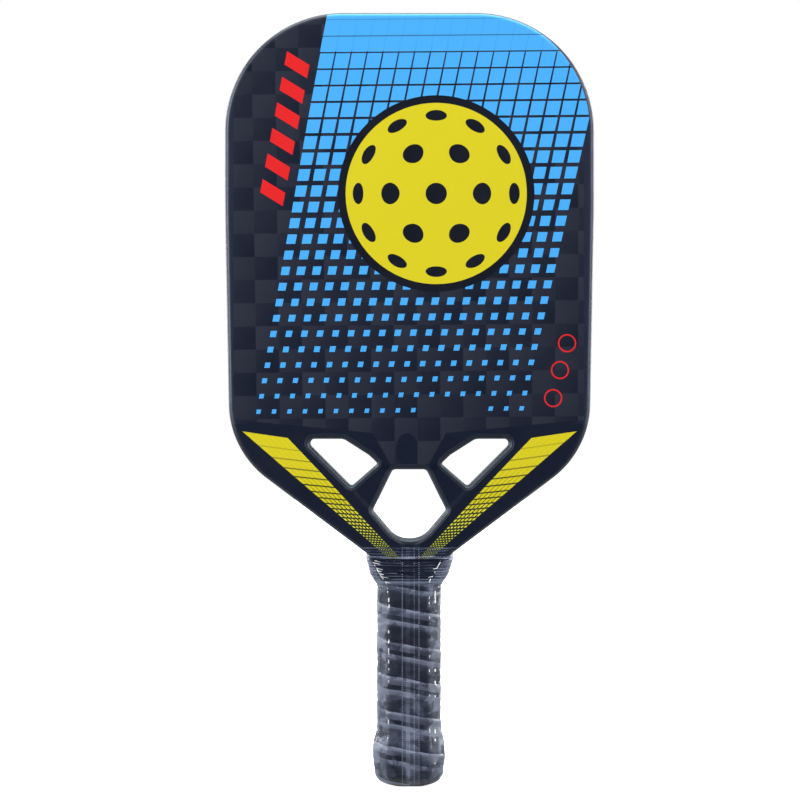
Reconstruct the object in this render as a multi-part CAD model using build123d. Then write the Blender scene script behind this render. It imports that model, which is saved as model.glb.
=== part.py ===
from build123d import *
import math
import os

# A carbon pickleball paddle with an open throat, standing on its butt.
# X runs across the face, -Y is the front face and +Z runs from the butt to the head.
# Millimetres throughout. Heights called "rise" are measured from the neck.

# Outline of the paddle
overall_length = 406.0
head_width = 194.0
head_thickness = 16.0
top_corner_radius = 62.0
straight_side = 42.0          # parallel part of the side, under the top corner
draw_in = 2.4                 # how far each side comes in on its way to the throat
draw_in_radius = 1000.0
lower_corner_radius = 46.4
flank_angle = 53.1            # lean of the throat's flanks, from upright
neck_height = 116.4           # where the flanks would meet the sides of the handle core
shoulder_radius = 18.0
edge_bevel = 1.4

# Sandwich of the head
skin_thickness = 0.8
edge_width = 3.0
foam_width = 8.0
bond_gap = 0.1
cell_size = 20.0              # across the flats of a honeycomb cell
cell_wall = 0.8
smallest_cell = 12.0          # square millimetres; cells cut smaller are left filled
handle_core_rise = 2.0

# Throat windows
rim_width = 2.6
rim_bevel = 2.0
side_top_rise = 65.9
side_crown_x = 34.6
side_crown_radius = 6.0
side_bend_x = 21.3
side_bend_rise = 57.4
side_bend_radius = 6.0
side_tip_x = 16.6
side_tip_rise = 52.9
side_tip_radius = 1.2
side_foot_x = 30.7
side_foot_rise = 40.6
side_foot_radius = 1.6
side_edge_angle = 45.0        # lean of the edge along the arm, from upright
side_outer_radius = 2.5
centre_top_rise = 49.9
centre_top_x = 8.8
centre_top_radius = 2.5
centre_wide_rise = 28.2
centre_wide_x = 19.4
centre_wide_radius = 1.8
centre_foot_rise = 13.0
centre_foot_x = 6.5
centre_foot_radius = 13.0

# Handle: an octagon under the wrap
handle_width = 27.3
handle_depth = 24.5
front_facet = 18.6
side_facet = 13.0
ramp_length = 18.0
ramp_end = 0.8                # thickness of a pallet where its ramp ends
butt_floor = 7.0              # solid end of the butt cap
cap_length = 38.0
cap_wall = 1.2
cap_fit = 0.15
flange_height = 9.0

# Flare of the butt, measured out from the straight handle
flare_top = 33.0
flare_height = 17.5
flare = 2.3
heel_height = 9.5
heel = 1.4
butt_end_inset = 8.25
flare_steps = 4               # flat stations in each curve of the flare

# Wrap, tape and film
wrap_fit = 0.1
wrap_thickness = 1.6
collar_length = 14.5          # swollen top end of the wrap
collar_knee = 5.5
knee_swell = 3.6
collar_swell = 6.3
collar_depth = 1.2
wrap_top_rise = 3.4
tape_fit = 0.05
tape_thickness = 0.2
tape_width = 9.6
tape_margin = 0.5
film_fit = 0.1
film_thickness = 0.35
film_top_rise = 9.2
film_bottom = 1.4

# Staples that hold the cap
staple_width = 10.0
staple_wire = 0.7
staple_leg = 3.6
staple_height = 33.0
staple_fit = 0.05

# Sizes that follow from the ones above
half_head = head_width / 2
half_face = head_thickness / 2
half_core = half_face - skin_thickness
half_handle = handle_width / 2
half_depth = handle_depth / 2
bevel_angle = math.atan2(half_handle - front_facet / 2, half_depth - side_facet / 2)
half_bevel = half_handle * math.cos(bevel_angle) + side_facet / 2 * math.sin(bevel_angle)
foam_bottom = neck_height + side_top_rise + rim_width + bond_gap
core_bottom = foam_bottom + foam_width
handle_core_top = neck_height + handle_core_rise
tang_bottom = butt_floor + cap_fit
seat_top = cap_length + cap_fit
ramp_top = neck_height - bond_gap
ramp_bottom = ramp_top - ramp_length
wrap_top = neck_height + wrap_top_rise
film_top = neck_height + film_top_rise
wrap_outside = wrap_fit + wrap_thickness
tape_inside = wrap_outside + tape_fit
tape_outside = tape_inside + tape_thickness
film_inside = tape_outside + film_fit
film_outside = film_inside + film_thickness


# Plane shapes, drawn in X and Z

def rounded_shape(corners):
    """Closed face from (x, z, radius) corners."""
    points = [(x, z) for x, z, radius in corners]
    radii = [radius for x, z, radius in corners]
    return make_face(FilletPolyline(*points, radius=radii, close=True))


def mirrored_shape(right):
    """Closed face from the corners of its right half, listed from the bottom up."""
    left = [(-x, z, radius) for x, z, radius in reversed(right)]
    return rounded_shape(right + left)


def heights(bottom, top):
    """Wide rectangle between two heights."""
    return Pos(0, (bottom + top) / 2) * Rectangle(2 * head_width, top - bottom)


def paddle_outline():
    """Head, throat and handle core in one outline."""
    half_low = half_head - draw_in
    corner_rise = (half_low - half_handle) / math.tan(math.radians(flank_angle))
    straight_bottom = overall_length - top_corner_radius - straight_side
    return mirrored_shape([
        (half_handle, tang_bottom, edge_width / 2),
        (half_handle, neck_height, shoulder_radius),
        (half_low, neck_height + corner_rise, lower_corner_radius),
        (half_head, straight_bottom, draw_in_radius),
        (half_head, overall_length, top_corner_radius),
    ])


def side_window(side):
    """Opening beside the centre line; side is 1 on the right and -1 on the left."""
    top = neck_height + side_top_rise
    foot = neck_height + side_foot_rise
    outer_x = side_foot_x + (top - foot) * math.tan(math.radians(side_edge_angle))
    corners = [
        (side_foot_x, foot, side_foot_radius),
        (outer_x, top, side_outer_radius),
        (side_crown_x, top, side_crown_radius),
        (side_bend_x, neck_height + side_bend_rise, side_bend_radius),
        (side_tip_x, neck_height + side_tip_rise, side_tip_radius),
    ]
    return rounded_shape([(side * x, z, radius) for x, z, radius in corners])


def centre_window():
    """Opening on the centre line, under the head."""
    return mirrored_shape([
        (centre_foot_x, neck_height + centre_foot_rise, centre_foot_radius),
        (centre_wide_x, neck_height + centre_wide_rise, centre_wide_radius),
        (centre_top_x, neck_height + centre_top_rise, centre_top_radius),
    ])


def core_outline():
    """Outline of the honeycomb: the head, less its foam, cut straight across at the foot."""
    head = offset(outline, amount=-edge_width - bond_gap - foam_width)
    return head & heights(core_bottom, overall_length)


def bridge_zone():
    """Region of the struts and the bar over the centre window; its sides cross the windows."""
    return mirrored_shape([
        (centre_wide_x - rim_width, neck_height + centre_wide_rise, 0),
        (side_foot_x, neck_height + side_foot_rise + rim_width, 0),
        (side_crown_x + side_crown_radius, neck_height + side_tip_rise + rim_width, 0),
        (side_crown_x + side_crown_radius, foam_bottom, 0),
    ])


outline = paddle_outline()
cavity = offset(outline, amount=-edge_width)
filling = offset(cavity, amount=-bond_gap)
windows = {"left": side_window(-1), "centre": centre_window(), "right": side_window(1)}
rims = {name: offset(window, amount=rim_width) for name, window in windows.items()}
core_shape = core_outline()


# Solids from plane shapes

def layer(shape, near, far):
    """Plate of the given outline between two depths, counted towards the front."""
    return extrude(Plane.XZ.offset(near) * shape, amount=far - near)


def plate(shape, half):
    """Plate of the given outline, centred in the paddle's thickness."""
    return layer(shape, -half, half)


def band(bottom, top):
    """Block that takes in everything between two heights."""
    return plate(heights(bottom, top), head_width)


def flat_sides(solid):
    """The front and rear faces of a plate."""
    return solid.faces().filter_by(Axis.Y)


# Carbon parts

def edge_wall():
    """Wall round the head, the throat and the core of the handle.

    Its edges are bevelled down to the shoulders. Along the handle they follow the octagon.
    """
    body = plate(outline, half_face)
    rim = [edge for side in flat_sides(body) for edge in side.outer_wire().edges()]
    head = chamfer(rim, edge_bevel) & band(ramp_bottom, overall_length)
    return head + (body & handle_octagon(ramp_bottom)) - plate(cavity, half_face)


def skin(near):
    """Sheet on one face; near is the depth of its side that looks to the rear."""
    sheet = layer(cavity, near, near + skin_thickness)
    for rim in rims.values():
        sheet -= plate(rim, half_face)
    return sheet


def window_liner(name):
    """Wall round one throat window, with a bevelled mouth on both faces."""
    body = plate(rims[name] - windows[name], half_face)
    mouths = [edge for side in flat_sides(body) for edge in side.inner_wires()[0].edges()]
    return chamfer(mouths, rim_bevel)


# Core and foam

def is_whole_enough(opening):
    """Whether a cell that the outline cuts is large enough to stay open."""
    return opening.area > smallest_cell


def honeycomb_core():
    """Sheet of hexagonal cells that run from skin to skin, cut to the head's outline."""
    box = core_shape.bounding_box()
    columns = math.ceil(box.size.X / (cell_size * math.sqrt(3) / 2)) + 1
    rows = math.ceil(box.size.Y / cell_size) + 1
    middle = Pos(box.center().X, box.center().Y)
    cell = RegularPolygon((cell_size - cell_wall) / 2, 6, major_radius=False)
    places = HexLocations(cell_size / 2, columns, rows).local_locations
    cells = Compound(children=[middle * place * cell for place in places])
    openings = offset(core_shape, amount=-cell_wall) & cells
    return plate(core_shape - openings.faces().filter_by(is_whole_enough), half_core)


def edge_foam():
    """Ring between the honeycomb and the edge wall."""
    ring = filling & heights(foam_bottom, overall_length)
    return plate(ring - offset(core_shape, amount=bond_gap), half_core)


def throat_filling():
    """Outline of all the foam under the edge foam."""
    fill = filling & heights(handle_core_top + bond_gap, foam_bottom - bond_gap)
    for rim in rims.values():
        fill -= offset(rim, amount=bond_gap)
    return fill


def bridge_foam():
    """Foam in the two struts and in the bar that joins them."""
    return plate(throat_filling() & bridge_zone(), half_core)


def throat_foam(side):
    """Foam in one arm of the throat; side is 1 on the right and -1 on the left."""
    middle = side * (half_head + bond_gap)
    arm = throat_filling() - offset(bridge_zone(), amount=bond_gap)
    arm &= Pos(middle, foam_bottom / 2) * Rectangle(head_width, foam_bottom)
    return plate(arm, half_core)


def handle_core():
    """Foam bar inside the carbon wall of the handle."""
    return plate(filling & heights(0, handle_core_top), half_core)


# Handle

def octagon(height, width, depth, bevel):
    """Section of the handle at a height, from the distances of its facets from the axis."""
    side_y = (bevel - width * math.cos(bevel_angle)) / math.sin(bevel_angle)
    front_x = (bevel - depth * math.sin(bevel_angle)) / math.cos(bevel_angle)
    quarter = [(width, side_y), (front_x, depth)]
    half = quarter + [(-x, y) for x, y in reversed(quarter)]
    points = half + [(-x, -y) for x, y in half]
    return Plane.XY.offset(height) * make_face(Polyline(*points, close=True))


def octagon_bar(grow, bottom, top):
    """Straight bar with the section of the handle core, grown all round."""
    section = octagon(bottom, half_handle + grow, half_depth + grow, half_bevel + grow)
    return extrude(section, amount=top - bottom)


def butt_flare(height):
    """How far the butt stands out from the straight handle at a height."""
    if height < heel_height:
        rest = 1 - height / heel_height
        return heel - (heel + butt_end_inset) * (1 - math.sqrt(1 - rest ** 2))
    if height < flare_height:
        share = (height - heel_height) / (flare_height - heel_height)
        return heel + (flare - heel) * math.sin(share * math.pi / 2)
    share = min(1, (height - flare_height) / (flare_top - flare_height))
    return flare * (1 + math.cos(share * math.pi)) / 2


def between(height, low, low_value, high, high_value):
    """Value at a height on the slope between two heights, level beyond them."""
    share = min(1, max(0, (height - low) / (high - low)))
    return low_value + (high_value - low_value) * share


def collar(height):
    """How far the swollen top end of the wrap stands out at a height."""
    bottom = wrap_top - collar_length
    knee = bottom + collar_knee
    if height < knee:
        return between(height, bottom, 0, knee, knee_swell)
    return between(height, knee, knee_swell, wrap_top, collar_swell)


def handle_form(grow, swollen):
    """Flared octagonal handle, grown out from its core.

    A swollen form has the thick collar that the wrap makes over the shoulders.
    """
    steps = [step / flare_steps for step in range(flare_steps + 1)]
    heights_used = {heel_height * (1 - math.cos(step * math.pi / 2)) for step in steps}
    heights_used |= {between(step, 0, heel_height, 1, flare_height) for step in steps}
    heights_used |= {between(step, 0, flare_height, 1, flare_top) for step in steps}
    heights_used |= {ramp_bottom, ramp_top, film_top + ramp_length}
    if swollen:
        heights_used |= {wrap_top - collar_length, wrap_top - collar_length + collar_knee, wrap_top}
    face = half_face + ramp_end + (collar_depth if swollen else 0)
    sections = []
    for height in sorted({round(height, 3) for height in heights_used}):
        out = grow + max(0, butt_flare(height))
        depth = out + between(height, ramp_bottom, half_depth, ramp_top, face)
        out += collar(height) if swollen else 0
        dome = 1 + min(0, butt_flare(height)) / (half_handle + grow)
        widths = [half_handle + out, depth, half_bevel + out]
        sections.append(octagon(height, *[width * dome for width in widths]))
    return loft(sections, ruled=True)


def handle_octagon(top):
    """The handle core's own shape, stepped in where the cap goes over it."""
    return octagon_bar(0, seat_top, top) + octagon_bar(-cap_wall, tang_bottom, seat_top)


def neck(grow):
    """The paddle's own shape at the shoulders, grown all round."""
    shape = offset(outline, amount=grow) & heights(ramp_bottom, film_top + ramp_length)
    return plate(shape, half_face + grow)


def handle_pallet(side):
    """Half of the octagon, laid on one face of the core; side is 1 at the front, -1 behind."""
    body = handle_octagon(ramp_top) & handle_form(0, False)
    near, far = sorted([side * half_face, side * head_width])
    return (body & layer(heights(0, overall_length), near, far)) - staple(side, staple_fit)


def staple(side, grow):
    """Flat staple through the cap into a pallet, or the slot for it where it is grown."""
    outer = half_depth + (grow and staple_wire)
    crown_inner = half_depth - staple_wire - grow
    crown = Box(staple_width + 2 * grow, outer - crown_inner, staple_wire + 2 * grow)
    body = Pos(0, (outer + crown_inner) / 2, 0) * crown
    leg_inner = half_depth - staple_leg - grow
    for x in (-1, 1):
        leg = Box(staple_wire + 2 * grow, outer - leg_inner, staple_wire + 2 * grow)
        body += Pos(x * (staple_width - staple_wire) / 2, (outer + leg_inner) / 2, 0) * leg
    body = Pos(0, 0, staple_height) * body
    return body if side < 0 else body.rotate(Axis.Z, 180)


def butt_cap():
    """Flared cap over the end of the core, with a flange that the wrap starts from."""
    cap = handle_form(0, False) & band(0, cap_length)
    cap += handle_form(wrap_outside, False) & band(0, flange_height)
    cap -= octagon_bar(cap_fit - cap_wall, butt_floor, overall_length)
    return cap - staple(1, staple_fit) - staple(-1, staple_fit)


def grip_wrap():
    """Cushioned wrap from the cap's flange to the shoulders."""
    outer = handle_form(wrap_outside, True) & band(flange_height + wrap_fit, wrap_top)
    inner = handle_form(wrap_fit, False) & band(0, ramp_top + wrap_fit)
    return outer - inner - neck(wrap_fit)


def finishing_tape():
    """Tape over the top end of the wrap."""
    top = wrap_top - tape_margin
    tape = handle_form(tape_outside, True) - handle_form(tape_inside, True)
    return tape & band(top - tape_width, top)


def grip_film():
    """Clear film over the whole handle, drawn in over the shoulders onto the throat."""
    lower = handle_form(film_outside, True) & band(film_bottom, wrap_top + film_fit + film_thickness)
    upper = neck(film_fit + film_thickness) & band(wrap_top, film_top)
    room = handle_form(film_inside, True) & band(0, wrap_top + film_fit)
    return lower + upper - room - neck(film_fit)


nodes = {
    "front_skin": skin(half_core),
    "rear_skin": skin(-half_face),
    "edge_wall": edge_wall(),
    "window_liner_left": window_liner("left"),
    "window_liner_centre": window_liner("centre"),
    "window_liner_right": window_liner("right"),
    "honeycomb_core": honeycomb_core(),
    "edge_foam": edge_foam(),
    "bridge_foam": bridge_foam(),
    "throat_foam_left": throat_foam(-1),
    "throat_foam_right": throat_foam(1),
    "handle_core": handle_core(),
    "handle_pallet_front": handle_pallet(1),
    "handle_pallet_rear": handle_pallet(-1),
    "butt_cap": butt_cap(),
    "cap_staples": Compound(children=[staple(1, 0), staple(-1, 0)]),
    "grip_wrap": grip_wrap(),
    "finishing_tape": finishing_tape(),
    "grip_film": grip_film(),
}

os.makedirs("parts", exist_ok=True)
for name, shape in nodes.items():
    export_step(shape, f"parts/{name}.step")
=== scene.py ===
import math

import bpy
import numpy as np
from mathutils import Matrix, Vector, noise
from mathutils.geometry import delaunay_2d_cdt


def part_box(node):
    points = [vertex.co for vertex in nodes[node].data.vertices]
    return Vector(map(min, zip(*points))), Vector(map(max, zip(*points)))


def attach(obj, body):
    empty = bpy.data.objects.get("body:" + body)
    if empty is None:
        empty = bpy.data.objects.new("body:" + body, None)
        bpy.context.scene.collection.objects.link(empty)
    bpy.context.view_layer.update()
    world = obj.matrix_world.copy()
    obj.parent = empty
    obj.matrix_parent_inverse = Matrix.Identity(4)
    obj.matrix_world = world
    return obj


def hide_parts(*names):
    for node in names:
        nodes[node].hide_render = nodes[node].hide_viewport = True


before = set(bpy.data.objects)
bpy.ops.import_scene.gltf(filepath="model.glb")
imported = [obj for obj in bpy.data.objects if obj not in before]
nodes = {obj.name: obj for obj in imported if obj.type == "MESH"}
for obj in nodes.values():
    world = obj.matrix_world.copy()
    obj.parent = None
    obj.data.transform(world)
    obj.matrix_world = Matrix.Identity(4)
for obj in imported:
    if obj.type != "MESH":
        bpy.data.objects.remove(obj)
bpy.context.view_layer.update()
mm = 0.001


# ---- Core and foam ----
# The head is filled with a sheet of polymer honeycomb, with closed-cell foam poured round it
# and down the arms of the throat. All of it is sealed in by the carbon.

class Field:
    """A socket of a material's tree that sums can be written on."""

    def __init__(self, tree, socket):
        self.tree = tree
        self.socket = socket

    def node(self, kind, settings=None, values=None, result=0):
        """Adds a node: its settings first, then what goes into its sockets."""
        made = self.tree.nodes.new(kind)
        for name, value in (settings or {}).items():
            if name == "stops":
                stops = made.color_ramp.elements
                while len(stops) < len(value):
                    stops.new(1.0)
                for stop, (place, shade) in zip(stops, value):
                    stop.position = place
                    stop.color = shade
            else:
                setattr(made, name, value)
        for name, value in (values or {}).items():
            if isinstance(value, Field):
                self.tree.links.new(value.socket, made.inputs[name])
            else:
                made.inputs[name].default_value = value
        return Field(self.tree, made.outputs[result])

    def maths(self, operation, *values):
        return self.node("ShaderNodeMath", {"operation": operation}, dict(enumerate(values)))

    def __add__(self, other):
        return self.maths("ADD", self, other)

    def __radd__(self, other):
        return self.maths("ADD", other, self)

    def __sub__(self, other):
        return self.maths("SUBTRACT", self, other)

    def __rsub__(self, other):
        return self.maths("SUBTRACT", other, self)

    def __mul__(self, other):
        return self.maths("MULTIPLY", self, other)

    def __rmul__(self, other):
        return self.maths("MULTIPLY", other, self)

    def __truediv__(self, other):
        return self.maths("DIVIDE", self, other)

    def __rtruediv__(self, other):
        return self.maths("DIVIDE", other, self)

    def __mod__(self, other):
        return self.maths("FLOORED_MODULO", self, other)

    def __pow__(self, other):
        return self.maths("POWER", self, other)

    def __lt__(self, other):
        return self.maths("LESS_THAN", self, other)

    def __gt__(self, other):
        return self.maths("GREATER_THAN", self, other)

    def __abs__(self):
        return self.maths("ABSOLUTE", self)

    def __floor__(self):
        return self.maths("FLOOR", self)

    def lower(self, other):
        return self.maths("MINIMUM", self, other)

    def higher(self, other):
        return self.maths("MAXIMUM", self, other)

    def split(self):
        """The x, y and z of this vector."""
        parts = self.node("ShaderNodeSeparateXYZ", None, {0: self}).socket.node.outputs
        return [Field(self.tree, part) for part in parts]

    def chance(self, other):
        """Random number from 0 to 1 for each pair of whole numbers."""
        pair = self.node("ShaderNodeCombineXYZ", None, {0: self, 1: other})
        return pair.node("ShaderNodeTexWhiteNoise", {"noise_dimensions": "2D"}, {"Vector": pair})

    def off_middle(self):
        """How far this is from halfway between the whole numbers on either side."""
        return abs(self - math.floor(self) - 0.5)

    def ramp(self, start, end, low=0.0, high=1.0, smooth=False):
        """Goes from low to high while this goes from start to end, and stays level outside."""
        settings = {"interpolation_type": "SMOOTHSTEP" if smooth else "LINEAR", "clamp": True}
        values = {0: self, 1: start, 2: end, 3: low, 4: high}
        return self.node("ShaderNodeMapRange", settings, values)

    def mix(self, first, second):
        """First colour where this is 0, second where it is 1."""
        return self.node("ShaderNodeMix", {"data_type": "RGBA"}, {0: self, 6: first, 7: second}, 2)

    def noise(self, scale, detail=2.0, roughness=0.5, stretch=(1, 1, 1)):
        """Noise at this place, from 0 to 1; stretch is how much finer it is along each axis."""
        place = self.node("ShaderNodeVectorMath", {"operation": "MULTIPLY"}, {0: self, 1: stretch})
        values = {"Vector": place, "Scale": scale, "Detail": detail, "Roughness": roughness}
        return self.node("ShaderNodeTexNoise", None, values)


def colour(red, green, blue):
    """Linear colour from the 0 to 255 values of a paint chart."""
    linear = []
    for part in (red / 255, green / 255, blue / 255):
        linear.append(part / 12.92 if part < 0.04045 else ((part + 0.055) / 1.055) ** 2.4)
    return linear + [1]


def new_finish(name, constants):
    """Finish with the constant values of its shader; gives it and the place on the piece."""
    finish = bpy.data.materials.new(name)
    finish.use_nodes = True
    shader = finish.node_tree.nodes["Principled BSDF"]
    for socket, value in constants.items():
        shader.inputs[socket].default_value = value
    start = Field(finish.node_tree, None)
    return finish, start.node("ShaderNodeTexCoord", result="Object")


def plug(finish, **fields):
    """Feeds fields into the shader's sockets, named with a _ for each space."""
    shader = finish.node_tree.nodes["Principled BSDF"]
    for name, field in fields.items():
        finish.node_tree.links.new(field.socket, shader.inputs[name.replace("_", " ")])


def bump(height, distance, strength=1.0):
    """Normal of a surface whose height goes from 0 to this distance, in metres."""
    values = {"Height": height, "Distance": distance, "Strength": strength}
    return height.node("ShaderNodeBump", None, values)


def dress(piece, finish):
    piece.data.materials.clear()
    piece.data.materials.append(finish)


honeycomb_finish, place = new_finish("honeycomb", {"Roughness": 0.55})
grain = place.noise(900, detail=4)
plug(honeycomb_finish, Base_Color=grain.mix(colour(196, 199, 190), colour(222, 224, 216)),
     Normal=bump(grain, 0.05 * mm))
dress(nodes["honeycomb_core"], honeycomb_finish)

foam_finish, place = new_finish("foam", {"Roughness": 0.9})
bubbles = place.node("ShaderNodeTexVoronoi", None, {"Vector": place, "Scale": 1400.0})
plug(foam_finish, Base_Color=bubbles.ramp(0, 0.6).mix(colour(180, 178, 168), colour(226, 224, 214)),
     Normal=bump(bubbles, 0.2 * mm))
for name in ("edge_foam", "bridge_foam", "throat_foam_left", "throat_foam_right", "handle_core"):
    dress(nodes[name], foam_finish)


# ---- Carbon faces ----
# Each face is a sheet of spread-tow carbon cloth moulded over the core, with the throat's
# struts pressed in. The grid and the throat stripes are printed on it under a satin coat.
wall_low, wall_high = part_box("edge_wall")
half_head = wall_high.x
head_top = wall_high.z
half_face = wall_high.y
half_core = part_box("honeycomb_core")[1].y
tang_half = 13.65 * mm
tang_bottom = wall_low.z
core_above_neck = 2 * mm
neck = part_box("handle_core")[1].z - core_above_neck
edge_width = 3.0
rim_width = 2.6


def rounded_loop(corners, step):
    """Points and outward normals round a convex or waisted outline of (x, z, radius) corners.

    The corners are in millimetres and in anticlockwise order, and so is the loop.
    """
    points, normals = [], []
    for index, (x, z, radius) in enumerate(corners):
        corner = Vector((x, z))
        back = (Vector(corners[index - 1][:2]) - corner).normalized()
        on = (Vector(corners[(index + 1) % len(corners)][:2]) - corner).normalized()
        half = back.angle(on) / 2
        side = 1 if back.cross(on) < 0 else -1
        centre = corner + (back + on).normalized() * radius / math.sin(half)
        first = math.atan2(back.x, -back.y)
        turn = side * (math.pi - 2 * half)
        parts = max(2, math.ceil(abs(radius * turn) / step))
        for part in range(parts + 1):
            angle = first + turn * part / parts
            normal = Vector((math.cos(angle), math.sin(angle)))
            points.append(centre + normal * radius * side)
            normals.append(normal)
    full_points, full_normals = [], []
    for index, point in enumerate(points):
        after = points[(index + 1) % len(points)]
        normal = normals[index]
        straight = (normals[(index + 1) % len(points)] - normal).length < 1e-4
        parts = max(1, round((after - point).length / step)) if straight else 1
        if (after - point).length < 1e-4:
            continue
        for part in range(parts):
            full_points.append(point.lerp(after, part / parts))
            full_normals.append(normal)
    return np.array(full_points) * mm, np.array(full_normals)


def mirrored(right):
    """Whole outline from the corners of its right half, listed from the bottom up."""
    return right + [(-x, z, radius) for x, z, radius in reversed(right)]


neck_mm = neck / mm
head_mm = half_head / mm
tang_mm = tang_half / mm
top_mm = head_top / mm
flank = math.radians(53.1)
draw_in = 2.4
flank_drop = 0.9
flank_rise = (head_mm - draw_in - tang_mm) / math.tan(flank)
corner_radius = 62.0
straight_side = 42.0
outline = mirrored([
    (tang_mm, tang_bottom / mm, 3.2),
    (tang_mm, neck_mm - flank_drop, 18.0),
    (head_mm - draw_in, neck_mm - flank_drop + flank_rise, 50.0),
    (head_mm, top_mm - corner_radius - straight_side, 1000.0),
    (head_mm, top_mm, corner_radius),
])
centre_mouth = mirrored([
    (6.5, neck_mm + 13.0, 13.0),
    (19.4, neck_mm + 28.2, 1.8),
    (8.8, neck_mm + 49.9, 2.5),
])
right_mouth = [
    (30.7, neck_mm + 40.6, 1.6),
    (30.7 + 25.3, neck_mm + 65.9, 2.5),
    (34.6, neck_mm + 65.9, 6.0),
    (21.3, neck_mm + 57.4, 6.0),
    (16.6, neck_mm + 52.9, 1.2),
]
left_mouth = [(-x, z, radius) for x, z, radius in reversed(right_mouth)]
mouths = {"left": left_mouth, "centre": centre_mouth, "right": right_mouth}
wall_points, wall_normals = rounded_loop(outline, 1.5)
rim_loops = {name: rounded_loop(mouth, 0.7) for name, mouth in mouths.items()}

strut_depth = 0.6 * mm
press_reach = 2.5 * mm
arc_rise = 50.9
crease_across, crease_rise = 20.1, 27.0
crease_run, crease_climb = 11.7, 10.5


def smooth(values, start, end):
    """Goes softly from 0 to 1 while the values go from start to end."""
    share = np.clip((values - start) / (end - start), 0, 1)
    return share * share * (3 - 2 * share)


def pressed(x, z):
    """How deep the carbon is pressed in: over a slanted crease and under an arc."""
    across = abs(x) / mm
    rise = (z - neck) / mm
    arc = arc_rise + 1.5 * smooth(across, 8.0, 17.0)
    under_arc = smooth(arc - rise, 0.0, 1.6)
    crease = (rise - crease_rise) * crease_climb - (across - crease_across) * crease_run
    over_crease = smooth(crease / math.hypot(crease_climb, crease_run), -0.6, 2.4)
    return strut_depth * under_arc * over_crease * (1 - smooth(across, 31.0, 34.0))


def press(points):
    """Moves points near the outside of a face in with it; what lies deeper stays."""
    deep = smooth(abs(points[:, 1]), half_face - press_reach, half_face)
    points[:, 1] -= np.sign(points[:, 1]) * deep * pressed(points[:, 0], points[:, 2])
    return points


def new_piece(name, points, faces):
    """Piece with a mesh of these points and faces, linked into the scene."""
    mesh = bpy.data.meshes.new(name)
    mesh.from_pydata([tuple(point) for point in points], [], faces)
    mesh.update()
    piece = bpy.data.objects.new(name, mesh)
    bpy.context.scene.collection.objects.link(piece)
    return piece


def smooth_faces(piece, angle=30.0):
    piece.data.shade_smooth()
    piece.data.set_sharp_from_angle(angle=math.radians(angle))


def holds(loop, places):
    """Which places lie inside a closed loop."""
    inside = np.zeros(len(places), bool)
    for (x, z), (next_x, next_z) in zip(loop, np.roll(loop, -1, axis=0)):
        if z != next_z:
            crosses = (z > places[:, 1]) != (next_z > places[:, 1])
            reach = x + (places[:, 1] - z) / (next_z - z) * (next_x - x)
            inside ^= crosses & (places[:, 0] < reach)
    return inside


throat_top = neck + 72 * mm
fine_gap = 1.0 * mm
coarse_gap = 8.0 * mm


def face_sheet(name, side):
    """Sheet of one face, cut finely over the throat; side is -1 in front and 1 behind."""
    loops = [wall_points - wall_normals * (edge_width * mm)]
    loops += [points + normals * (rim_width * mm) for points, normals in rim_loops.values()]
    flat, edges = [], []
    for loop in loops:
        first = len(flat)
        flat += [Vector(point) for point in loop]
        edges += [(first + i, first + (i + 1) % len(loop)) for i in range(len(loop))]
    throat = neck - 10 * mm, throat_top, fine_gap
    for bottom, top, gap in (throat, (throat_top, head_top, coarse_gap)):
        for z in np.arange(bottom, top, gap):
            flat += [Vector((x, z)) for x in np.arange(-half_head, half_head, gap)]
    points, _, triangles, *_ = delaunay_2d_cdt(flat, edges, [], 2, 1e-7)
    flat = np.array(points)
    middles = flat[np.array(triangles)].mean(axis=1)
    open_places = np.any([holds(loop, middles) for loop in loops[1:]], axis=0)
    triangles = [triangle for triangle, opened in zip(triangles, open_places) if not opened]
    count = len(flat)
    outside = np.column_stack([flat[:, 0], np.full(count, side * half_face), flat[:, 1]])
    inside = np.column_stack([flat[:, 0], np.full(count, side * half_core), flat[:, 1]])
    used = {}
    for triangle in triangles:
        for i in range(3):
            used[(triangle[i], triangle[(i + 1) % 3])] = True
    faces = [tuple(triangle) for triangle in triangles]
    faces += [tuple(count + i for i in reversed(triangle)) for triangle in triangles]
    faces += [(b, a, count + a, count + b) for a, b in used if (b, a) not in used]
    if side > 0:
        faces = [tuple(reversed(face)) for face in faces]
    piece = new_piece(name, np.vstack([press(outside), inside]), faces)
    smooth_faces(piece)
    return piece


# The print is laid out in millimetres: across to the right as seen from outside, and up.
carbon, place = new_finish("printed_carbon", {"Specular IOR Level": 0.35})
across, deep, up = [part * (1 / mm) for part in place.split()]
across = across * (1 - 2 * (deep > 0))

# The cloth: tows 12.3 mm wide, each one paler where it comes to the surface and fading across
# each square: a painted sheen. They lie a little askew, show only above a lower edge like a
# keel, and are printed over in one patch.
tow = 12.27
row_height = tow + 0.05
first_column, first_row = 80.40, 294.46
along_row = (across * (1.0406 - up * 0.000101) + up * 0.0065 + first_column) / tow
down_column = (first_row - up * 1.0132 + across * 0.0091) / row_height
column, row = math.floor(along_row), math.floor(down_column)
under = (column + row) % 2
# Painted sheen: each square's tone, and its fall across the square, stand in for light off the
# tows.
tile_fall = (along_row - column) * 0.32 + (down_column - row) * 0.15
grain = place.noise(500, detail=4) - 0.5
painted_tow_sheen = 1 - under * 0.52 - tile_fall + (column.chance(row) - 0.5) * 0.22 + grain * 0.2
keel_bend = 19.2
keel = 169.0 + abs(across).ramp(10.0, keel_bend, 0.0, 16.4)
keel = keel + (abs(across) - keel_bend).higher(0) * 0.095
patch = ((across + 1.3) / 5.7) ** 2 + ((up - 176.8) / 8.5) ** 2
cloth_area = (up > keel) * (across > -92.2) * (across < 91.4) * (abs(deep) > 7.6) * (patch > 1)
tow_dull_and_sheened = colour(16, 24, 42), colour(43, 46, 60)
bare = (abs(across) * (up > 190)).ramp(84.0, 93.0).mix(colour(17, 25, 43), colour(32, 39, 59))
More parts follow.
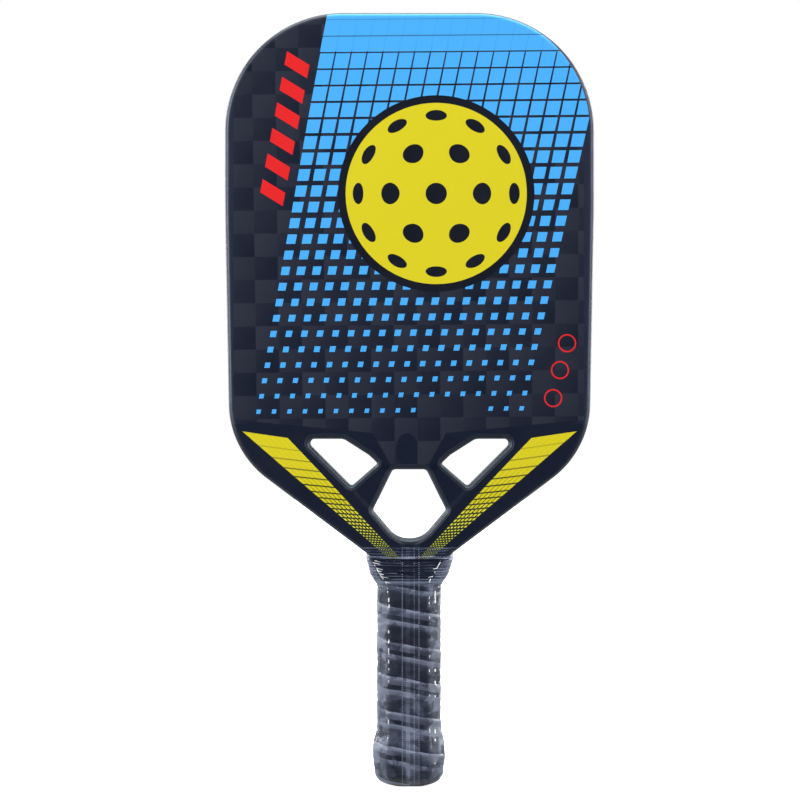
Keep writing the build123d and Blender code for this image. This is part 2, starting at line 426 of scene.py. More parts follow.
base = cloth_area.mix(bare, painted_tow_sheen.ramp(0.0, 1.0).mix(*tow_dull_and_sheened))

# The printed grid: sheared rows of squares that shrink on their way down. Each row is
# 0.0152 mm shorter than the one above it, so a row's number comes from a square root.
waist = 276.0
from_waist = waist - up
print_up = up + across * 0.0032 + from_waist * 0.0016 - from_waist ** 2 * 0.000069 + 0.61
print_up = print_up - from_waist.ramp(30.0, 80.0, 0.0, 0.55) * across.ramp(-10.0, 40.0)
print_across = across * 1.0043 - from_waist ** 2 * 0.000077 + 0.2
top_row, top_row_height, row_shrink = 380.4, 8.485, 0.0152
fall = top_row - (print_up - print_across * 0.0122)
top_height_squared = 71.99
root = (top_height_squared - fall * (2 * row_shrink)).higher(0) ** 0.5
row_place = (top_row_height - root) / row_shrink
grid_row = math.floor(row_place + 0.5)
below_grid_top = print_up - 404.0
left_centre = below_grid_top * 0.180 - 40.3 - below_grid_top ** 2 * 0.00005
column_place = (print_across - left_centre) / (print_up * 0.00101 + 7.931)
grid_column = math.floor(column_place + 0.5)
share = (up * 0.00195 + 0.1943).lower(up * 0.00418 - 0.5897).higher(up * 0.00315 - 0.294)
share = share * up.ramp(222.0, 280.0, 0.85, 0.97)
beside = abs(row_place - grid_row) * 2
aside = abs(column_place - grid_column) * 2
row_line = (beside > share) * up.ramp(384.0, 410.0, 1.0, 0.15)
column_line = (aside > share) * up.ramp(385.0, 386.0, 1.0, 0.12)
ink = 1 - row_line.higher(column_line)
last_row, last_column = 22, 17
grid_area = (grid_column > -0.5) * (grid_column < last_column + 0.5) * (grid_row < last_row + 0.5)
missing = (grid_row > last_row - 0.5) * (grid_column > 10.5) * (grid_column < 14.5)
side_reach = (abs(across) - (head_mm - corner_radius)).higher(0)
top_reach = (up - (top_mm - corner_radius)).higher(0)
edge_reach = (side_reach ** 2 + top_reach ** 2) ** 0.5
on_face = edge_reach < corner_radius - side_reach.ramp(34.0, 60.0, 0.7, 2.4)
base = (ink * grid_area * (1 - missing) * on_face).mix(base, colour(73, 172, 247))

# A plain yellow ball with round holes in it, over the middle of the grid. The rings of holes
# are squashed towards its edge.
ball_radius, dark_radius, hole_radius = 47.5, 51.5, 5.6
ball_across, ball_up = across - 14.0, up - 311.0
from_middle = (ball_across ** 2 + ball_up ** 2) ** 0.5
turned = ball_across.maths("ARCTAN2", ball_up, ball_across)
holes = from_middle < hole_radius
for ring_reach, hole_count, squash in ((24.0, 6, 0.86), (41.0, 12, 0.5)):
    place_round = (turned * (hole_count / (2 * math.pi)) + 0.5) % 1.0 - 0.5
    aslant = place_round * (ring_reach * 2 * math.pi / hole_count)
    outwards = (from_middle - ring_reach) / squash
    holes = holes.higher((outwards ** 2 + aslant ** 2) < hole_radius ** 2)
yellow_ink = colour(217, 204, 34)
base = (from_middle < dark_radius).mix(base, colour(14, 19, 32))
base = ((from_middle < ball_radius) * (1 - holes)).mix(base, yellow_ink)

# Slanted red blocks down the left of the grid, and three small red rings on the right.
red_ink = colour(226, 36, 38)
block_count, block_pitch, half_block, block_share = 6, 13.4, 6.6, 0.52
block_across = across - ((up - 347.0) * 0.19 - 65.0)
block_place = (up + block_across * 0.55 - 308.0) / block_pitch
blocks = (abs(block_across) < half_block) * ((block_place % 1.0) < block_share)
blocks = blocks * (block_place > 0) * (block_place < block_count)
base = blocks.mix(base, red_ink)
ring_radius, half_line = 4.4, 0.38
for ring_across, ring_up in ((82.6, 232.5), (78.9, 218.4), (75.3, 203.7)):
    reach = ((across - ring_across) ** 2 + (up - ring_up) ** 2) ** 0.5
    base = (abs(reach - ring_radius) < half_line).mix(base, red_ink)

# The stripes down the arms of the throat, broken up into a finer and finer mesh. Its cross
# lines close up by a log law towards the point where the arms meet, and tilt a little.
arm = abs(across)
outer_arm = (up - 110.0) / 0.87
inner_edge = up < (114.6 + arm * 1.092 - arm ** 2 * 0.0004)
stripe = (arm < outer_arm) * inner_edge * ((up + (88.4 - arm) * 0.147) < 186.4)
inner_arm = (up - 114.5) / 1.08
level = up + (outer_arm - arm) * 0.095
level = level - (level - 120.0) * across * 0.00015
level = level + (level - 145.5) * ((outer_arm + inner_arm) * 0.5 - arm) * 0.0019
lines_meet = 108.0
above_point = (level - lines_meet).higher(2.0)
log_height = above_point.maths("LOGARITHM", above_point, math.e)
line_place = log_height * 19.665 - level * 0.1296 - 41.11
line_share = (8.0 / above_point - 0.052) * level.ramp(150.0, 138.0, 1.0, 1.15)
cross_line = line_place.off_middle() < line_share.lower(0.34)
cross_line = cross_line * level.ramp(180.0, 160.0, 0.3, 1.0)
lane_count = 6
lane_place = (outer_arm - arm) / (outer_arm - inner_arm) * lane_count + 0.5
lane_line = lane_place.off_middle() < level.ramp(165.0, 126.0, 0.08, 0.28)
between = cross_line.higher(lane_line * level.ramp(170.0, 146.0, 0.1, 1.0))
yellow = level.ramp(150.0, 130.0).mix(yellow_ink, colour(240, 234, 88))
yellow = between.mix(yellow, level.ramp(150.0, 135.0).mix(colour(56, 66, 34), colour(40, 56, 36)))
base = stripe.mix(base, yellow)
sheen = place.noise(60, detail=5, roughness=0.65)
plug(carbon, Base_Color=base, Roughness=sheen.ramp(0.3, 0.7, 0.3, 0.42),
     Normal=bump(cloth_area * (1 - under) + place.noise(2500, detail=2) * 0.3, 0.01 * mm))

front_face = face_sheet("front_face", -1)
rear_face = face_sheet("rear_face", 1)
for piece, node in ((front_face, "front_skin"), (rear_face, "rear_skin")):
    dress(piece, carbon)
    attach(piece, "root")
    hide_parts(node)


# ---- Edge wall and window walls ----
# Carbon tape laid round the head and round each window of the throat, moulded with the faces.
# Its edges are rounded, and round a window they end in a thin bead. Below the face the window
# walls are painted lighter: a painted reflection.

def new_tree(name, sockets):
    """Empty Geometry Nodes tree with named inputs; gives it and its inputs as fields."""
    tree = bpy.data.node_groups.new(name, "GeometryNodeTree")
    for socket, kind in sockets.items():
        tree.interface.new_socket(socket, in_out="INPUT", socket_type="NodeSocket" + kind)
    tree.interface.new_socket("Mesh", in_out="OUTPUT", socket_type="NodeSocketGeometry")
    start = tree.nodes.new("NodeGroupInput")
    return tree, [Field(tree, start.outputs[socket]) for socket in sockets]


def end_tree(made, finish):
    """Realizes what the tree has made, gives it its finish and ends the tree."""
    made = made.node("GeometryNodeRealizeInstances", None, {"Geometry": made})
    made = made.node("GeometryNodeSetMaterial", None, {"Geometry": made, "Material": finish})
    end = made.tree.nodes.new("NodeGroupOutput")
    made.tree.links.new(made.socket, end.inputs["Mesh"])


def run_tree(piece, tree, values):
    """Turns a piece into the plain mesh that a tree makes of it."""
    modifier = piece.modifiers.new("maker", "NODES")
    modifier.node_group = tree
    for item in tree.interface.items_tree:
        if item.in_out == "INPUT" and item.name in values:
            modifier[item.identifier] = values[item.name]
    graph = bpy.context.evaluated_depsgraph_get()
    mesh = bpy.data.meshes.new_from_object(piece.evaluated_get(graph))
    piece.modifiers.remove(modifier)
    piece.data = mesh
    return piece


def turn_outwards(piece):
    """Flips a closed mesh whose faces point inwards."""
    mesh = piece.data
    mesh.calc_loop_triangles()
    corners = np.array([mesh.vertices[i].co for t in mesh.loop_triangles for i in t.vertices])
    a, b, c = corners.reshape(-1, 3, 3).transpose(1, 0, 2)
    if np.einsum("ij,ij->i", a, np.cross(b, c)).sum() < 0:
        mesh.flip_normals()


sweep, (line, section, finish) = new_tree(
    "carbon_sweep", {"Line": "Geometry", "Section": "Object", "Finish": "Material"})
path = line.node("GeometryNodeMeshToCurve", None, {"Mesh": line})
upright = {"Curve": path, "Normal": (0, 1, 0)}
path = path.node("GeometryNodeSetCurveNormal", {"mode": "FREE"}, upright)
shape = section.node("GeometryNodeObjectInfo", None, {"Object": section}, "Geometry")
shape = shape.node("GeometryNodeMeshToCurve", None, {"Mesh": shape})
wall = path.node("GeometryNodeCurveToMesh", None, {"Curve": path, "Profile Curve": shape})
end_tree(wall, finish)


def ring(name, points):
    """Piece that is one closed line."""
    mesh = bpy.data.meshes.new(name)
    count = len(points)
    mesh.from_pydata(points, [(i, (i + 1) % count) for i in range(count)], [])
    piece = bpy.data.objects.new(name, mesh)
    bpy.context.scene.collection.objects.link(piece)
    return piece


bead_reach = 0.25 * mm


def carbon_wall(name, loop, half_section, into, finish):
    """Wall with a symmetric section, run round a loop; into is 1 if it lies inside the loop."""
    whole = half_section + [(inset, -depth) for inset, depth in reversed(half_section)]
    outline = [(depth * mm, into * inset * mm, 0) for inset, depth in whole]
    section = ring(name + "_section", outline)
    piece = ring(name, [(x, 0, z) for x, z in loop])
    run_tree(piece, sweep, {"Section": section, "Finish": finish})
    bpy.data.objects.remove(section)
    points = np.array([vertex.co for vertex in piece.data.vertices])
    on_top = abs(points[:, 1]) > half_face - bead_reach
    flattened = pressed(points[:, 0], points[:, 2]) / strut_depth * on_top
    points[:, 1] += flattened * (np.sign(points[:, 1]) * half_face - points[:, 1])
    piece.data.vertices.foreach_set("co", press(points).ravel())
    turn_outwards(piece)
    smooth_faces(piece, 40)
    return piece


quarter = [part / 8 * math.pi / 2 for part in range(9)]
face_mm = half_face / mm


def rounded_edge(radius, drop):
    """Quarter round that starts this drop below the face and ends at the outside, inset 0."""
    middle = face_mm - drop - radius
    return [(radius - radius * math.sin(turn), middle + radius * math.cos(turn))
            for turn in quarter]


edge_round = 2.5
edge_section = [(edge_width, face_mm)] + rounded_edge(edge_round, 0)
edge_carbon = carbon.copy()
edge_carbon.name = "printed_carbon_edge"
shader = edge_carbon.node_tree.nodes["Principled BSDF"]
shader.inputs["Specular IOR Level"].default_value = 0.6
shader.inputs["Specular Tint"].default_value = (0.84, 0.90, 1.0, 1.0)
edge_wall = carbon_wall("edge_band", wall_points, edge_section, 1, edge_carbon)
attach(edge_wall, "root")
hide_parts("edge_wall")

bead = [(rim_width, 0.0), (2.52, 0.02), (2.42, 0.03), (2.32, 0.01), (2.22, -0.04), (2.1, -0.08)]
rim_section = [(inset, face_mm + rise) for inset, rise in bead] + rounded_edge(1.9, 0.1)
window_carbon_painted_light, place = new_finish(
    "window_carbon_painted_light", {"Specular IOR Level": 0.8, "Specular Tint": (0.84, 0.93, 1.0, 1.0)})
grain = place.noise(300, detail=4)
# Painted reflection: the wall's colour turns lighter from the bead down into the window.
inward = (face_mm - abs(place.split()[1] * (1 / mm))).ramp(0.4, 1.9)
top_colour = grain.mix(colour(14, 22, 38), colour(22, 30, 46))
plug(window_carbon_painted_light, Base_Color=inward.mix(top_colour, colour(55, 62, 73)),
     Roughness=grain.ramp(0.3, 0.7, 0.42, 0.46))
for name, (points, normals) in rim_loops.items():
    rim = carbon_wall(name + "_window_wall", points, rim_section, -1, window_carbon_painted_light)
    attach(rim, "root")
    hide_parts("window_liner_" + name)


# ---- Butt cap ----
# A moulded black cap is pushed over the octagonal end of the handle and stapled through. Its
# flange gives the wrap a place to start. Sizes of the handle are in millimetres.
half_width = tang_mm
half_depth = 12.25
front_half = 9.3
side_half = 6.5
facet_lean = math.atan2(half_width - front_half, half_depth - side_half)
half_bevel = half_width * math.cos(facet_lean) + side_half * math.sin(facet_lean)
clear = 0.1
flange_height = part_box("grip_wrap")[0].z / mm - clear
wrap_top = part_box("grip_wrap")[1].z / mm
flare_top = 33.0
flare_height = 17.5
flare = 2.3
heel_height = 8.2
heel = 1.4
butt_inset = 8.25
flange = 1.7
cap_length = 38.0
throat_depth = 8.8
blend_length = 18
blend_end = neck_mm - 0.1
around = 144

# The wrap's collar swells twice on its way up: to a knee, and on to its top.
collar_length = 14.5
collar_knee = 5.5
knee_swell, top_swell = 3.6, 6.3
side_fill, face_fill = 0.6, 1.2


def flared(height):
    """How far the butt stands out from the straight handle, in millimetres."""
    if height < heel_height:
        rest = 1 - height / heel_height
        return heel - (heel + butt_inset) * (1 - math.sqrt(max(0, 1 - rest ** 2)))
    if height < flare_height:
        share = (height - heel_height) / (flare_height - heel_height)
        return heel + (flare - heel) * math.sin(share * math.pi / 2)
    share = min(1, (height - flare_height) / (flare_top - flare_height))
    return flare * (1 + math.cos(share * math.pi)) / 2


def grip_section(height, grow, swollen=False):
    """Distances of the handle's side, front and slanted facets from its axis."""
    out = grow + max(0, flared(height))
    share = min(1, max(0, (height - (blend_end - blend_length)) / blend_length))
    face = throat_depth + (face_fill if swollen else 0)
    depth = out + half_depth + (face - half_depth) * share
    if swollen:
        start = wrap_top - collar_length
        places = [start, start + collar_knee, wrap_top]
        out += float(np.interp(height, places, [0, knee_swell, top_swell]))
    dome = 1 + min(0, flared(height)) / (half_width + grow)
    fill = side_fill if swollen else 0
    return [(half_width + out + fill) * dome, depth * dome, (half_bevel + out + fill / 2) * dome]


def section_points(section, height, sharpness=26):
    """Ring of points on an eight-sided section with softened corners."""
    wide, thick, slant = section
    turns = np.linspace(0, 2 * math.pi, around, endpoint=False)
    x, y = abs(np.cos(turns)), abs(np.sin(turns))
    leans = x * math.cos(facet_lean) + y * math.sin(facet_lean)
    near = ((x / wide) ** sharpness + (y / thick) ** sharpness + (leans / slant) ** sharpness)
    reach = near ** (-1 / sharpness)
    return np.column_stack([np.cos(turns) * reach, np.sin(turns) * reach, np.full(around, height)])


def tube(name, rings, closed):
    """Mesh through a list of rings; its ends join up, or are shut by a fan of faces."""
    points = np.vstack(rings) * mm
    faces = []
    last = len(rings) if closed else len(rings) - 1
    for low in range(last):
        high = (low + 1) % len(rings)
        for i in range(around):
            j = (i + 1) % around
            faces.append((low * around + i, low * around + j, high * around + j, high * around + i))
    if not closed:
        faces.append(tuple(reversed(range(around))))
        faces.append(tuple(range(len(points) - around, len(points))))
    piece = new_piece(name, points, faces)
    turn_outwards(piece)
    smooth_faces(piece)
    return piece


heights = heel_height * (1 - np.cos(np.linspace(0.05, 1.5, 24)))
cap_rings = [section_points(grip_section(height, 0 if height > flange_height else flange), height)
             for height in heights]
cap_rings.append(section_points(grip_section(flange_height, flange), flange_height))
cap_rings += [section_points(grip_section(height, 0), height)
              for height in np.linspace(flange_height, cap_length, 24)]
butt_cap = tube("butt_cap_moulding", cap_rings, False)
cap_finish, place = new_finish("cap_plastic", {"Roughness": 0.45})
grain = place.noise(700, detail=3)
plug(cap_finish, Base_Color=grain.mix(colour(24, 26, 31), colour(36, 39, 45)),
     Normal=bump(grain, 0.04 * mm))
dress(butt_cap, cap_finish)
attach(butt_cap, "root")
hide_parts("butt_cap")

steel, place = new_finish("staple_steel", {"Metallic": 1.0, "Roughness": 0.3})
grain = place.noise(1500, detail=3)
plug(steel, Base_Color=grain.mix(colour(150, 152, 155), colour(190, 192, 195)))
dress(nodes["cap_staples"], steel)
pallet_foam, place = new_finish("pallet_foam", {"Roughness": 0.6})
grain = place.noise(500, detail=3)
plug(pallet_foam, Base_Color=grain.mix(colour(58, 60, 62), colour(84, 86, 88)),
     Normal=bump(grain, 0.1 * mm))
for name in ("handle_pallet_front", "handle_pallet_rear"):
    dress(nodes[name], pallet_foam)


# ---- Wrap ----
# A strip of cushioned polyurethane wound up the handle in overlapping turns, from the cap's
# flange into a swollen collar over the shoulders. A turn of tape holds its end.
turn_drop = 18.2
first_turn = 0.86
wrap_thick = 1.7
wrap_corners = 22
shoulders_start = 60
heights = np.arange(flange_height + clear, wrap_top, 0.8)
turns = np.arange(around) / around


def neck_half(height):
    """Half width of the paddle's own outline on its way into the handle."""
    right = wall_points[(wall_points[:, 0] > 0) & (wall_points[:, 1] < (neck_mm + 40) * mm)] / mm
    order = np.argsort(right[:, 1])
    return float(np.interp(height, right[order, 1], right[order, 0]))


def inside_section(height):
    """Room inside the wrap for the handle and the shoulders."""
    own = grip_section(height, clear)
    wide = max(own[0], neck_half(height) + clear) if height > shoulders_start else own[0]
    return [wide, own[1], own[2] + wide - own[0]]


def lapped(height, lap, groove, groove_width):
    """How far overlapping turns stand out round a ring: a slope with a groove at the seam."""
    seam = (height / turn_drop + turns - first_turn) % 1.0
    dip = np.exp(-(np.minimum(seam, 1 - seam) / groove_width) ** 2)
    return lap * (seam - 0.5) - groove * dip


def push_out(points, out):
    """Moves the points of a ring away from the handle's axis."""
    points[:, :2] *= (1 + out / np.hypot(points[:, 0], points[:, 1]))[:, None]


outer = [section_points(grip_section(height, wrap_thick, True), height, wrap_corners)
         for height in heights]
for points, height in zip(outer, heights):
    push_out(points, lapped(height, lap=0.22, groove=0.25, groove_width=0.03))
inner = [section_points(inside_section(height), height) for height in heights[::-1]]
grip = tube("grip_wrap_cushion", outer + inner, True)
wrap_finish, place = new_finish("wrap", {"Roughness": 0.5, "Specular IOR Level": 0.3})
grain = place.noise(900, detail=3)
plug(wrap_finish, Base_Color=grain.mix(colour(14, 19, 31), colour(24, 29, 42)),
     Normal=bump(grain, 0.02 * mm))
dress(grip, wrap_finish)
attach(grip, "root")
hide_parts("grip_wrap")

tape_low, tape_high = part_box("finishing_tape")
tape_inside, tape_outside = wrap_thick + 0.05, wrap_thick + 0.25
heights = np.linspace(tape_low.z / mm, tape_high.z / mm, 14)
tape_rings = []
for grow, order in ((tape_outside, heights), (tape_inside, heights[::-1])):
    tape_rings += [section_points(grip_section(height, grow, True), height, wrap_corners)
                   for height in order]
tape = tube("wrap_end_tape", tape_rings, True)
tape_finish, place = new_finish("end_tape", {"Roughness": 0.45, "Specular IOR Level": 0.15})
grain = place.noise(400, detail=3, stretch=(1, 1, 6))
plug(tape_finish, Base_Color=grain.mix(colour(11, 17, 31), colour(18, 24, 40)))
dress(tape, tape_finish)
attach(tape, "root")
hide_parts("finishing_tape")


# ---- Film ----
# Clear stretch film is wound round the whole handle to keep it clean, and holds by its own
# cling. It lies in cloudy bands that run down to the right, drawn in onto the throat.
film_bottom, film_top = [end.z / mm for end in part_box("grip_film")]
film_gap = 2.05
film_thick = 0.35
slack = 0.5
fold_height, crease_height, ripple_height = 0.36, 0.3, 0.06


def neck_section(height, grow, least):
    """Section of the paddle itself above the wrap, bridged where it is narrower than least."""
    wide = max(neck_half(height) + grow, least)
    thick = face_mm + grow
    radius = edge_round + grow
    slant = (wide - radius) * math.cos(facet_lean) + (thick - radius) * math.sin(facet_lean)
    return [wide, thick, slant + radius]


def film_section(height, grow):
    """Film over the wrap, drawn in to the paddle's own section above it."""
    below = grip_section(min(height, wrap_top), film_gap + grow, True)
    below[0] += slack
    below[2] += slack / 2
    above = neck_section(height, clear + grow, below[0] - 0.15)
    share = float(smooth(np.array(height), wrap_top - 1.5, wrap_top + 1.5))
    return [low + (high - low) * share for low, high in zip(below, above)]


def wrinkle(points, height):
    """How far the film stands out round a ring: folds on the collar, creases below it."""
    out = np.zeros(around)
    collar = float(smooth(np.array(height), wrap_top - 20, wrap_top - 14))
    top = float(smooth(np.array(height), wrap_top - 2, wrap_top + 1))
    for i, (x, y, z) in enumerate(points):
        folds = noise.noise((x * 0.05, y * 0.05, z * 0.9))
        folds += 0.5 * noise.noise((x * 0.12, y * 0.12, z * 1.7))
        creases = noise.noise((x * 0.16, y * 0.16, z * 0.35 + 40))
        ripples = noise.noise((x * 0.4, y * 0.4, z * 0.8))
        out[i] = fold_height * collar * (1 - 0.4 * top) * folds
        out[i] += (1 - collar) * (crease_height * creases + ripple_height * ripples)
    seams = lapped(height, lap=0.34, groove=0.24, groove_width=0.035)
    return out + seams * (1 - top) * 0.8


def corner_gap(section, x, y):
    """Distance in millimetres from the nearest long corner of the handle."""
    wide, thick, slant = section
    lean = abs(x) * math.cos(facet_lean) + abs(y) * math.sin(facet_lean)
    near = np.sort(np.stack([abs(x) / wide, abs(y) / thick, lean / slant]), axis=0)
    return (near[2] - near[1]) * slant / math.sin(math.pi / 4)


film_corners = 24
tightened = 0.3
pulled_left = 0.3
heights = np.append(np.arange(film_bottom, film_top - 0.2, 0.5), film_top)
outer, gaps = [], []
for height in heights:
    section = film_section(height, film_thick)
    points = section_points(section, height, film_corners)
    gaps.append(corner_gap(section, points[:, 0], points[:, 1]))
    push_out(points, wrinkle(points, height) - tightened)
    points[:, 0] -= pulled_left * float(smooth(np.array(height), wrap_top - 8, wrap_top - 18))
    outer.append(points)
drawn_in = [1 - film_thick / 18, 1 - film_thick / 14, 1]
inner = [points * drawn_in for points in reversed(outer)]
film = tube("stretch_film", outer + inner, True)

# Each face corner keeps where it lies on the film: the share of a turn, the height and the
# distance from the nearest long corner of the handle. A face over the start of the turn
# counts on past 1, so that the bands have no break there.
height_unit, gap_unit = 100, 10
gaps = np.concatenate(gaps + gaps[::-1])
lay = film.data.attributes.new("lay", "FLOAT_VECTOR", "CORNER")
corners = [loop.vertex_index for loop in film.data.loops]
spots = np.array([film.data.vertices[corner].co for corner in corners]) / mm
angle = np.arctan2(spots[:, 1], spots[:, 0]) / (2 * math.pi) % 1.0
starts = np.array([angle[list(polygon.loop_indices)] for polygon in film.data.polygons])
wraps = (starts.max(axis=1) - starts.min(axis=1) > 0.5)[:, None] & (starts < 0.5)
angle = (starts + wraps).ravel()
laid = np.column_stack([angle, spots[:, 2] / height_unit, gaps[corners] / gap_unit])
lay.data.foreach_set("vector", laid.ravel())

film_finish, place = new_finish("film", {
    "IOR": 1.5, "Specular IOR Level": 0.6, "Sheen Weight": 0.5, "Sheen Roughness": 0.35,
    "Sheen Tint": (0.82, 0.88, 1.0, 1.0)})
laid = place.node("ShaderNodeAttribute", {"attribute_name": "lay"}, result="Vector")
turn, height, from_corner = laid.split()
height, from_corner = height * height_unit, from_corner * gap_unit
across, deep = [part * (1 / mm) for part in place.split()[:2]]

# How cloudy it is down each turn, from one edge of the film to the next.
wander = place.noise(45, detail=1) - 0.5
ragged = place.noise(350, detail=3) - 0.5
down = 1 - (height / turn_drop + turn - first_turn + wander * 0.16 + ragged * 0.03) % 1.0
stops = [(0.0, 0.95), (0.03, 0.76), (0.09, 0.64), (0.105, 0.5), (0.215, 0.46),
         (0.235, 0.04), (0.36, 0.02), (0.365, 0.9), (0.41, 0.74), (0.49, 0.6),
         (0.52, 0.3), (0.62, 0.12), (0.995, 0.06), (1.0, 0.95)]
stops = [(at, (value,) * 3 + (1,)) for at, value in stops]
bands = down.node("ShaderNodeValToRGB", {"stops": stops}, {"Fac": down})
hazy = place.noise(75, detail=2).ramp(0.495, 0.515, 0.0, 0.44) * (0.55 + place.noise(260, detail=2))
clinging = place.noise(95, detail=3, roughness=0.55).ramp(0.52, 0.55, 0.0, 1.0)
low_down = height.ramp(64, 36)
cloudy = place.noise(110, detail=4, stretch=(1, 1, 1.4)).ramp(0.42, 0.72, 0.0, 0.34)
# The side facets are lighter, partly as cloudier film and partly as a painted reflection, and the
# edges of the outline carry a painted reflection.
slanted = abs(across + 1.0).ramp(9.5, 11.5)
spread_out = slanted.higher(low_down * 0.55)
painted_edge_reflection = abs(across + 0.3).ramp(14.8, 16.4, 0.0, 0.5)
bands = bands.higher(hazy * (0.3 + spread_out * 0.7)) + cloudy * (0.3 + spread_out * 0.75)
bands = bands + slanted * 0.26 + (across > 10.0) * 0.1 + painted_edge_reflection
bands = bands * (1 - clinging * 0.42)

# The film's seams down the front: two dotted ones with plain ones between them.
dot_pitch, dot_length, half_dot = 1.05, 0.45, 0.28
dots = ((height % dot_pitch) < dot_length) * 0.8
dotted = (abs(across + 3.8) < half_dot).higher(abs(across - 4.9) < half_dot) * dots
seams = dotted.higher((abs(across - 2.4) < 0.22) * 0.3)
seams = seams.higher((abs(across + 0.9) < 1.1) * (0.1 + low_down * 0.14))
seams = seams + (abs(across - 0.5) < 4.2) * low_down * 0.16
seams = seams * (deep < 0) * (0.75 + place.noise(160, detail=1, stretch=(1, 1, 0.4)))

# The collar, where the film lies in level folds, with painted glints on them towards both sides.
folds_per_mm = 0.69
collar = height.ramp(wrap_top - 14.0, wrap_top - 12.0, 0, 1, True)
fold_place = height * folds_per_mm + place.noise(28, detail=2) * 1.9
fold_place = fold_place + place.noise(130, detail=1) * 0.6
broken = place.noise(120, detail=2, stretch=(1, 1, 3)).ramp(0.38, 0.6, 0.2, 1.0)
fold_line = fold_place.off_middle().ramp(0.0, 0.26, 0.8, 0.0) * broken
knee_side = 10.45 + height.ramp(104.0, 108.0) + height.ramp(108.0, 111.0, 0.0, 2.2)
knee_side = knee_side + height.ramp(111.0, 120.0, 0.0, 5.0)
inward = knee_side - abs(across + 0.3 + height.ramp(104.0, 110.0, 0.0, 1.2))
# Painted glints: short near-white spikes on the folds near the collar's corners.
glint_place = fold_place + inward * 0.2
fold_chance = math.floor(glint_place).chance(across > 0)
reach = (((fold_chance * 7) % 1.0) * 8.0 - 3.6).lower(4.2)
spike = (glint_place.off_middle() < 0.17 - inward.higher(0) * 0.03) * (inward < reach)
spike = spike.higher((abs(inward) < 0.28) * (place.noise(500, detail=0) > 0.52))
glancing = spike * (inward > -0.3) * (height < wrap_top - 1) * (height > wrap_top - 16)
edge_light = place.noise(90, detail=2).ramp(0.4, 0.62, 0.35, 1.0)
film_edge = abs(height - film_top + 0.45 + wander) < 0.28
wrap_edge = abs(height - wrap_top - 0.4 + wander * 2) < 0.3
top_line = film_edge.higher(wrap_edge) * edge_light
overhang = (abs(across) + 0.2 > 14.8 + (height - neck_mm) * 1.33) * (height > wrap_top + 0.6) * 0.5
knee_band = abs(height - wrap_top + 12.8).ramp(0.8, 1.5, 0.4, 0.0)
knee_band = knee_band * (0.7 + place.noise(80, detail=2) * 0.6)
collar_cloud = fold_line.higher(top_line * 0.8).higher(overhang).higher(knee_band)
# Outside the corner the collar is lighter, partly as cloudier film and partly as a painted
# reflection.
streaks = 0.15 + place.noise(170, detail=2, stretch=(1, 1, 2)) * 1.2
side_cloud_and_reflection = inward.ramp(0.4, -2.0, 0.0, 0.75) * streaks
collar_cloud = collar_cloud + side_cloud_and_reflection * (height < wrap_top + 0.5) + 0.04
# The cloud also carries the painted reflection on the side facets and edges.
cloud_and_reflection = ((bands * (1 - collar)).higher(knee_band) + collar * collar_cloud + seams).ramp(0, 1)

# Small painted glints along the handle's long corners, and the finish itself.
speck = place.noise(260, detail=0, stretch=(0.4, 0.4, 1.5))
speck = speck + (down > 0.31) * (down < 0.365) * 0.16 + (down > 0.55) * (down < 0.98) * 0.02
spark = (from_corner < 0.4).higher((abs(across - 13.4) < 0.35) * (deep < 0))
spark = spark * (speck > 0.66 + (height < 92) * 0.05) * (height > 12)
# Painted glints: near-white spots that stand in for light caught on the film's creases.
glint = (spark * (1 - collar)).higher(glancing * collar)
light_haze = slanted.mix(colour(129, 137, 158), colour(102, 109, 128))
light_haze = collar.mix(light_haze, colour(116, 125, 148))
haze_and_glints = glint.mix(cloud_and_reflection.mix(colour(60, 70, 94), light_haze), colour(240, 242, 245))
plug(film_finish, Base_Color=haze_and_glints, Alpha=(cloud_and_reflection * 0.85 + 0.03).higher(glint * 0.9),
     Roughness=cloud_and_reflection * 0.3 + 0.1)
dress(film, film_finish)
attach(film, "root")
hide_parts("grip_film")


# ---- Studio ----
# A pale floor under soft light from all round, with a lamp at each corner and one overhead.
# The camera stands back, square on to the face.
half_floor = 3
floor_corners = [(-half_floor, -half_floor, 0), (half_floor, -half_floor, 0),
                 (half_floor, half_floor, 0), (-half_floor, half_floor, 0)]
floor = new_piece("floor", floor_corners, [(0, 1, 2, 3)])
floor.visible_glossy = False
floor.visible_diffuse = False
pale, place = new_finish("pale_floor", {
    "Roughness": 0.8, "Base Color": colour(244, 244, 244),
    "Emission Color": (1, 1, 1, 1), "Emission Strength": 0.8})
dress(floor, pale)

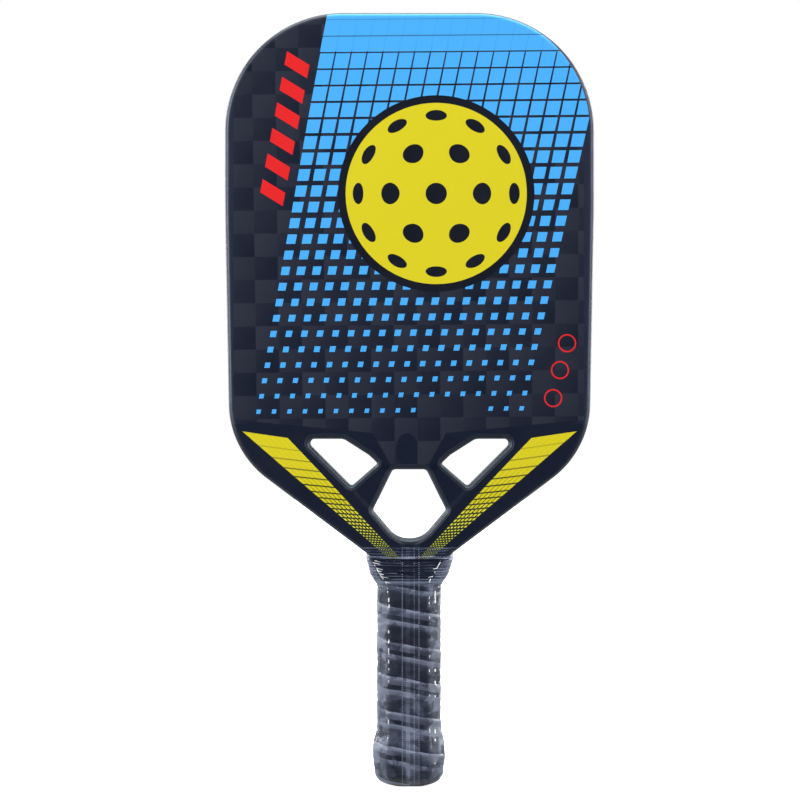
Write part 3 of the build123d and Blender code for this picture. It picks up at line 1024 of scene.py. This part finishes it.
world = bpy.data.worlds.new("studio")
bpy.context.scene.world = world
world.use_nodes = True
sky = Field(world.node_tree, None)
ray = sky.node("ShaderNodeLightPath", result="Is Camera Ray")
direction = sky.node("ShaderNodeTexCoord", result="Generated")
backward, upward = direction.split()[1:]
forward = abs(backward)
beside = forward.ramp(0.15, 0.6, 1.7, 0.55, True) * forward.ramp(0.55, 0.9, 1.0, 0.18, True)
glow = beside * upward.ramp(-0.35, 0.25, forward.ramp(0.3, 0.7, 0.75, 0.12), 1.0, True)
behind = backward.ramp(0.55, 0.9, 0.0, 0.42, True)
glow = glow.higher(behind * upward.ramp(-0.7, -0.2, 0.5, 1.0))
strength = ray + (1 - ray) * glow * 0.86
background = world.node_tree.nodes["Background"]
world.node_tree.links.new(strength.socket, background.inputs["Strength"])
background.inputs["Color"].default_value = (1, 1, 1, 1)

middle = Vector((0, 0, 0.25))
for name, spot, wide, tall, power in (
        ("key_left", (-1.35, -0.95, 0.65), 0.8, 1.2, 23),
        ("key_right", (1.35, -0.95, 0.65), 0.8, 1.2, 15),
        ("rear_left", (-1.35, 0.95, 0.65), 0.8, 1.2, 20),
        ("rear_right", (1.35, 0.95, 0.65), 0.8, 1.2, 20),
        ("overhead", (0.0, 0.0, 1.6), 1.6, 1.2, 22)):
    lamp = bpy.data.objects.new(name, bpy.data.lights.new(name, "AREA"))
    bpy.context.scene.collection.objects.link(lamp)
    lamp.data.shape = "RECTANGLE"
    lamp.data.size = wide
    lamp.data.size_y = tall
    lamp.data.energy = power
    lamp.location = spot
    lamp.rotation_euler = (middle - Vector(spot)).to_track_quat("-Z", "Y").to_euler()
    lamp.visible_camera = False

lens = 90.0
sensor = 36.0
view_width = 419.5 * mm
view_middle = -5.0 * mm, 202.7 * mm
distance = view_width * lens / sensor
camera = bpy.data.objects.new("camera", bpy.data.cameras.new("camera"))
bpy.context.scene.collection.objects.link(camera)
camera.data.lens = lens
camera.data.sensor_width = sensor
camera.location = (view_middle[0], -distance - half_face, view_middle[1])
camera.rotation_euler = (math.pi / 2, 0, 0)
bpy.context.scene.camera = camera
bpy.context.scene.view_settings.view_transform = "Standard"
